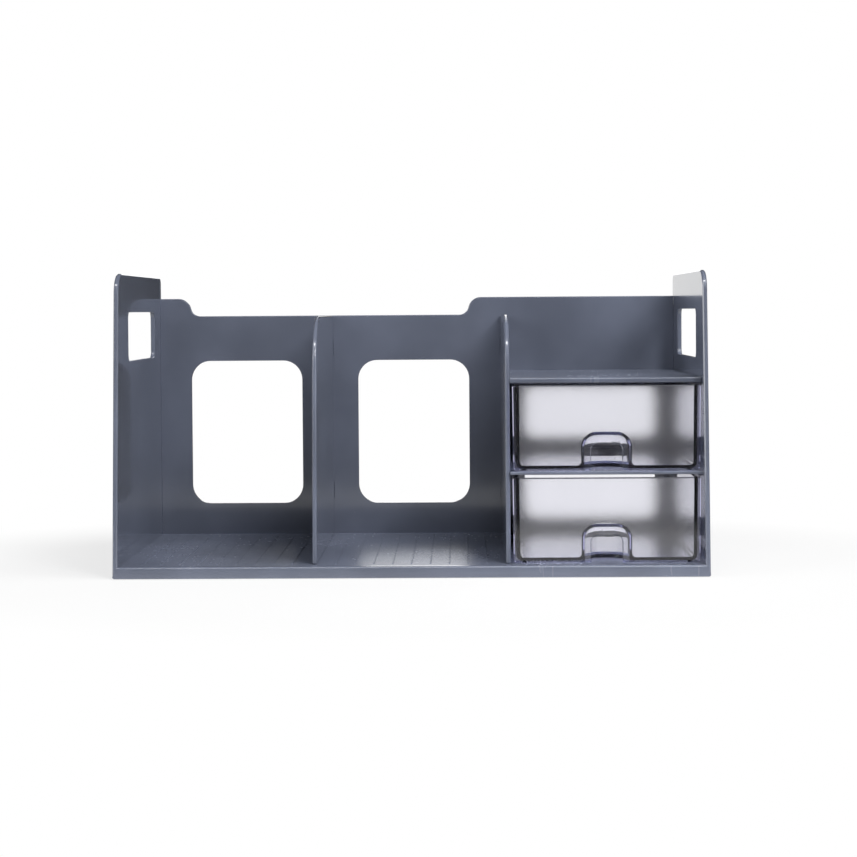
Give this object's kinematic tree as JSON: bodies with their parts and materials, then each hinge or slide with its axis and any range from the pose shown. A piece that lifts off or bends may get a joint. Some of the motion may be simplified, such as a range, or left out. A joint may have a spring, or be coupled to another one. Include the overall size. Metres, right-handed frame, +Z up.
{
  "type": "desktop book rack with drawers",
  "caption": "Open-fronted plastic desk rack with upright dividers for books, a small tray and clear stacked drawers that pull out by a thumb notch.",
  "frame": {"origin": "on the table under the middle of the rack, at the plane of the feet's undersides", "axes": "+X along the rack towards the drawers, +Y from the open front to the back panel, +Z up"},
  "size_m": [0.4, 0.175, 0.2052],
  "materials": {
    "grey_plastic": "glossy moulded, slate grey",
    "clear_plastic": "clear, with a finely frosted middle on the front",
    "foot_rubber": "matte"
  },
  "bodies": {
    "rack": {"bottom_panel": "grey_plastic", "back_panel": "grey_plastic", "left_side_panel": "grey_plastic", "right_side_panel": "grey_plastic", "left_divider": "grey_plastic", "right_divider": "grey_plastic", "top_shelf": "grey_plastic", "drawer_shelf": "grey_plastic", "front_left_foot": "foot_rubber", "front_right_foot": "foot_rubber", "rear_left_foot": "foot_rubber", "rear_right_foot": "foot_rubber"},
    "upper_drawer": {"upper_drawer": "clear_plastic"},
    "lower_drawer": {"lower_drawer": "clear_plastic"}
  },
  "joints": [
    {"name": "upper_drawer_slide", "type": "slide", "parent": "rack", "child": "upper_drawer", "axis": [0, -1, 0], "range_m": [0, 0.11]},
    {"name": "lower_drawer_slide", "type": "slide", "parent": "rack", "child": "lower_drawer", "axis": [0, -1, 0], "range_m": [0, 0.11]}
  ]
}
